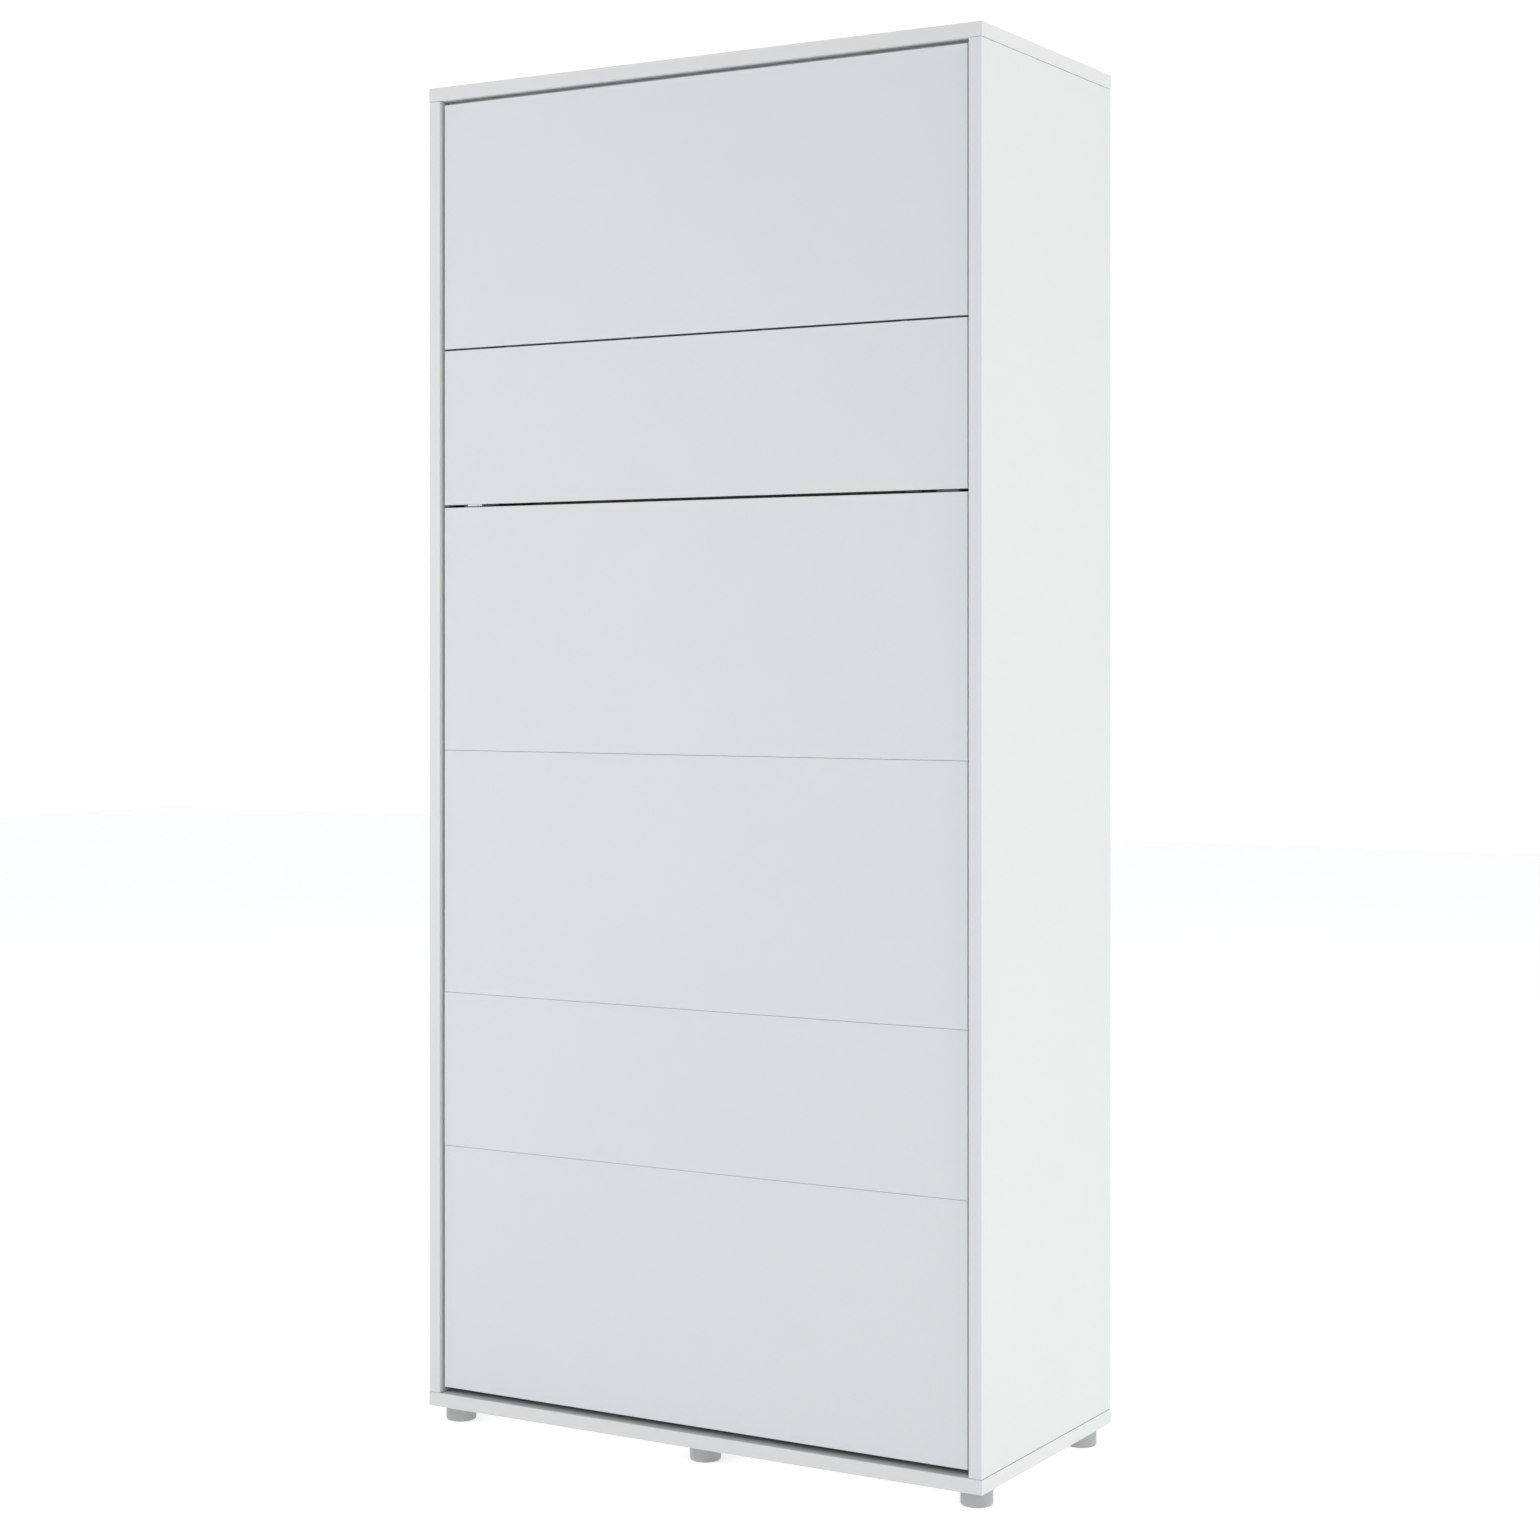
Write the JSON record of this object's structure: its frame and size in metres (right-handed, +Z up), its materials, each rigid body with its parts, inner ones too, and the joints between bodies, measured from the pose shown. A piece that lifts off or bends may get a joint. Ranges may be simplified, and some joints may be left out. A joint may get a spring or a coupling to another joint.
{
  "type": "murphy wall bed",
  "caption": "Tall white laminated cabinet whose panelled front folds down as a single bed on gas springs, with a fold-out panel leg, sprung slats, mattress and straps.",
  "frame": {"origin": "on the floor, under the middle of the cabinet's width and depth", "axes": "+Z up, -Y out of the panelled front into the room, +Y towards the wall, +X to the right seen from the front"},
  "size_m": [1.004, 0.464, 2.178],
  "materials": {
    "white_laminate": "matte",
    "front_laminate": "satin",
    "back_board": "matte",
    "white_plastic": "satin",
    "grey_plastic": "satin",
    "black_plastic": "satin",
    "bumper_rubber": "matte",
    "zinc_steel": "satin",
    "painted_steel": "satin",
    "black_enamel": "gloss",
    "polished_rod": "polished",
    "birch": "satin",
    "mattress_cloth": "matte",
    "webbing": "matte"
  },
  "bodies": {
    "cabinet": {"left_side_panel": "white_laminate", "right_side_panel": "white_laminate", "top_board": "white_laminate", "bottom_board": "white_laminate", "upper_back_panel": "back_board", "lower_back_panel": "back_board", "back_joining_strip": "white_plastic", "upper_rear_rail": "white_laminate", "lower_rear_rail": "white_laminate", "top_stop_batten": "white_laminate", "feet": "grey_plastic", "foot_screws": "zinc_steel", "dowels": "birch", "cam_locks": "zinc_steel", "cam_bolts": "zinc_steel", "left_hinge_plate": "zinc_steel", "right_hinge_plate": "zinc_steel", "hinge_plate_screws": "zinc_steel", "left_pivot_pin": "zinc_steel", "right_pivot_pin": "zinc_steel", "cylinder_studs": "zinc_steel", "stop_bumpers": "bumper_rubber"},
    "bed": {"top_front_panel": "front_laminate", "upper_middle_front_panel": "front_laminate", "lower_middle_front_panel": "front_laminate", "narrow_front_panel": "front_laminate", "bottom_front_panel": "front_laminate", "left_bed_rail": "painted_steel", "right_bed_rail": "painted_steel", "foot_cross_tube": "painted_steel", "lower_cross_tube": "painted_steel", "middle_cross_tube": "painted_steel", "upper_cross_tube": "painted_steel", "leg_cross_tube": "painted_steel", "head_cross_tube": "painted_steel", "rail_end_caps": "black_plastic", "slats": "birch", "slat_holders": "black_plastic", "left_pivot_plate": "zinc_steel", "right_pivot_plate": "zinc_steel", "pivot_plate_bolts": "zinc_steel", "pivot_bushes": "black_plastic", "rod_studs": "zinc_steel", "panel_spacers": "black_plastic", "panel_screws": "zinc_steel", "mattress": "mattress_cloth", "upper_strap": "webbing", "lower_strap": "webbing", "strap_buckles": "black_plastic", "mattress_stops": "painted_steel", "leg_hinge_brackets": "zinc_steel"},
    "leg": {"leg_panel": "front_laminate", "leg_glides": "black_plastic", "leg_catch_plate": "white_plastic", "leg_hinge_leaves": "zinc_steel", "leg_hinge_pins": "zinc_steel"},
    "left_cylinder": {"left_gas_cylinder": "black_enamel"},
    "right_cylinder": {"right_gas_cylinder": "black_enamel"},
    "left_rod": {"left_gas_rod": "polished_rod"},
    "right_rod": {"right_gas_rod": "polished_rod"}
  },
  "joints": [
    {"name": "bed_fold", "type": "hinge", "parent": "cabinet", "child": "bed", "pos_m": [0, -0.186, 0.28], "axis": [1, 0, 0], "range_deg": [0, 90], "stiffness_Nm_per_rad": 250},
    {"name": "leg_fold", "type": "hinge", "parent": "bed", "child": "leg", "pos_m": [0, -0.22, 1.7404], "axis": [-1, 0, 0], "range_deg": [0, 90]},
    {"name": "left_cylinder_tilt", "type": "hinge", "parent": "cabinet", "child": "left_cylinder", "pos_m": [-0.466, -0.186, 0.49], "axis": [1, 0, 0], "range_deg": [0, 45]},
    {"name": "right_cylinder_tilt", "type": "hinge", "parent": "cabinet", "child": "right_cylinder", "pos_m": [0.466, -0.186, 0.49], "axis": [1, 0, 0], "range_deg": [0, 45]},
    {"name": "left_rod_tilt", "type": "hinge", "parent": "bed", "child": "left_rod", "pos_m": [-0.466, -0.13165, 0.07716], "axis": [1, 0, 0], "range_deg": [-45, 0]},
    {"name": "right_rod_tilt", "type": "hinge", "parent": "bed", "child": "right_rod", "pos_m": [0.466, -0.13165, 0.07716], "axis": [1, 0, 0], "range_deg": [-45, 0]}
  ],
  "couplings": [
    {"joint": "left_cylinder_tilt", "follows": "bed_fold", "ratio": 0.5},
    {"joint": "right_cylinder_tilt", "follows": "bed_fold", "ratio": 0.5},
    {"joint": "left_rod_tilt", "follows": "bed_fold", "ratio": -0.5},
    {"joint": "right_rod_tilt", "follows": "bed_fold", "ratio": -0.5}
  ]
}
